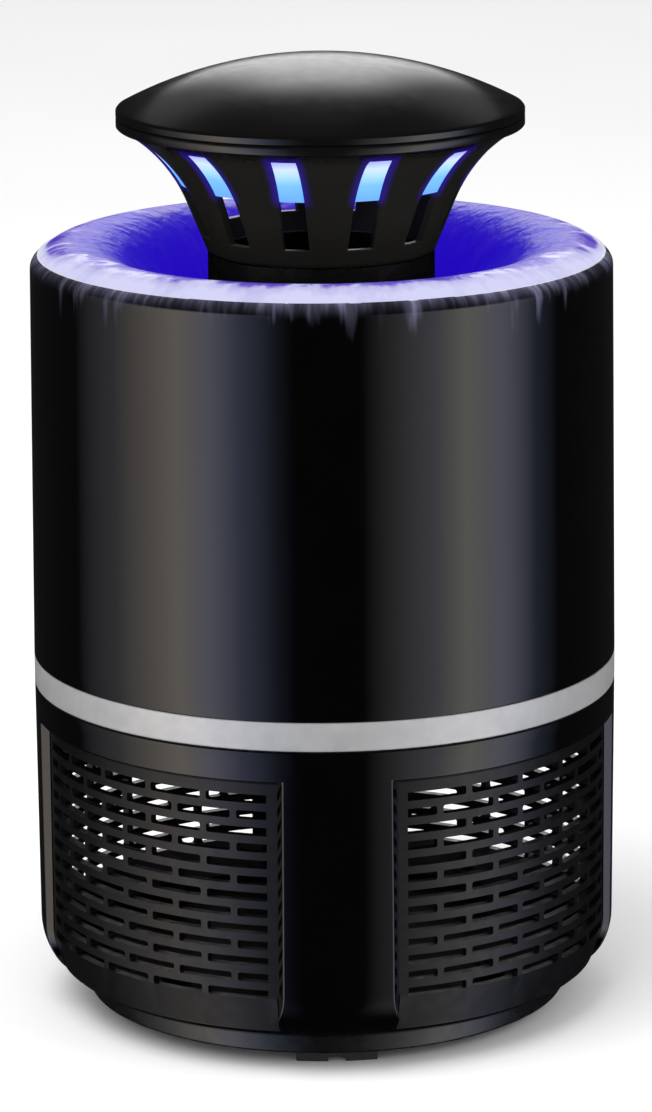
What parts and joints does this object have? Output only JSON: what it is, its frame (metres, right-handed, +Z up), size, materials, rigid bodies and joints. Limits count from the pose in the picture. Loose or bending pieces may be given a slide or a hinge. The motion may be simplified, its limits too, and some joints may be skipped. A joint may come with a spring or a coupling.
{
  "type": "suction insect trap",
  "caption": "Round table-top insect trap with a flared lamp head over a lit bell-mouth inlet, a fan inside and a lift-off collector with mesh windows.",
  "frame": {"origin": "on the floor, at the middle of the four feet", "axes": "+Z up along the body's axis, -Y towards the front, the socket and the button at the rear on +Y"},
  "size_m": [0.13, 0.13, 0.2136],
  "materials": {
    "black_gloss": "polished ABS",
    "mesh_satin": "satin ABS",
    "black_satin": "satin ABS",
    "head_black": "satin-gloss ABS",
    "foot_rubber": "matte",
    "trim_metal": "satin with bright edges",
    "lit_funnel": "translucent, lit violet",
    "lit_diffuser": "frosted, lit blue",
    "lit_led": "lit",
    "white_board": "white solder mask",
    "green_board": "green solder mask",
    "white_plastic": "moulded",
    "fan_plastic": "moulded",
    "motor_steel": "zinc plated",
    "screw_steel": "plated",
    "bronze": "sintered",
    "copper": "enamelled wire",
    "magnet": "ferrite",
    "lead_black": "PVC",
    "lead_red": "PVC"
  },
  "bodies": {
    "collector": {"collector_shell": "black_gloss", "grille_front_left": "mesh_satin", "grille_front_right": "mesh_satin", "grille_rear_left": "mesh_satin", "grille_rear_right": "mesh_satin", "base_plate": "black_satin", "base_screws": "screw_steel", "feet": "foot_rubber"},
    "upper_unit": {"housing_shell": "black_gloss", "trim_ring": "trim_metal", "fan_tray": "black_satin", "tray_screws": "screw_steel", "fan_duct": "black_satin", "neck_mount": "black_satin", "inlet_funnel": "lit_funnel", "neck_screws": "screw_steel", "head_shell": "head_black", "light_diffuser": "lit_diffuser", "led_board": "white_board", "leds": "lit_led", "board_clamp_screws": "screw_steel", "head_cap": "head_black", "motor_bracket": "black_satin", "motor_can": "motor_steel", "motor_end_cap": "white_plastic", "motor_magnets": "magnet", "motor_bushes": "bronze", "control_board": "green_board", "board_components": "black_satin", "board_screws": "screw_steel", "power_socket": "black_satin", "power_switch": "white_plastic", "led_lead": "lead_black", "fan_lead": "lead_red"},
    "fan_rotor": {"motor_shaft": "screw_steel", "motor_armature": "copper", "fan_impeller": "fan_plastic"},
    "power_button": {"switch_plunger": "white_plastic", "button_cap": "black_satin"}
  },
  "joints": [
    {"name": "lift_off", "type": "slide", "parent": "collector", "child": "upper_unit", "axis": [0, 0, 1], "range_m": [0, 0.06]},
    {"name": "fan_spin", "type": "hinge", "parent": "upper_unit", "child": "fan_rotor", "pos_m": [0, 0, 0.1], "axis": [0, 0, 1], "continuous": true},
    {"name": "power_press", "type": "slide", "parent": "upper_unit", "child": "power_button", "axis": [0, -1, 0], "range_m": [0, 0.0015], "stiffness_N_per_m": 400, "springref_m": -0.001}
  ]
}
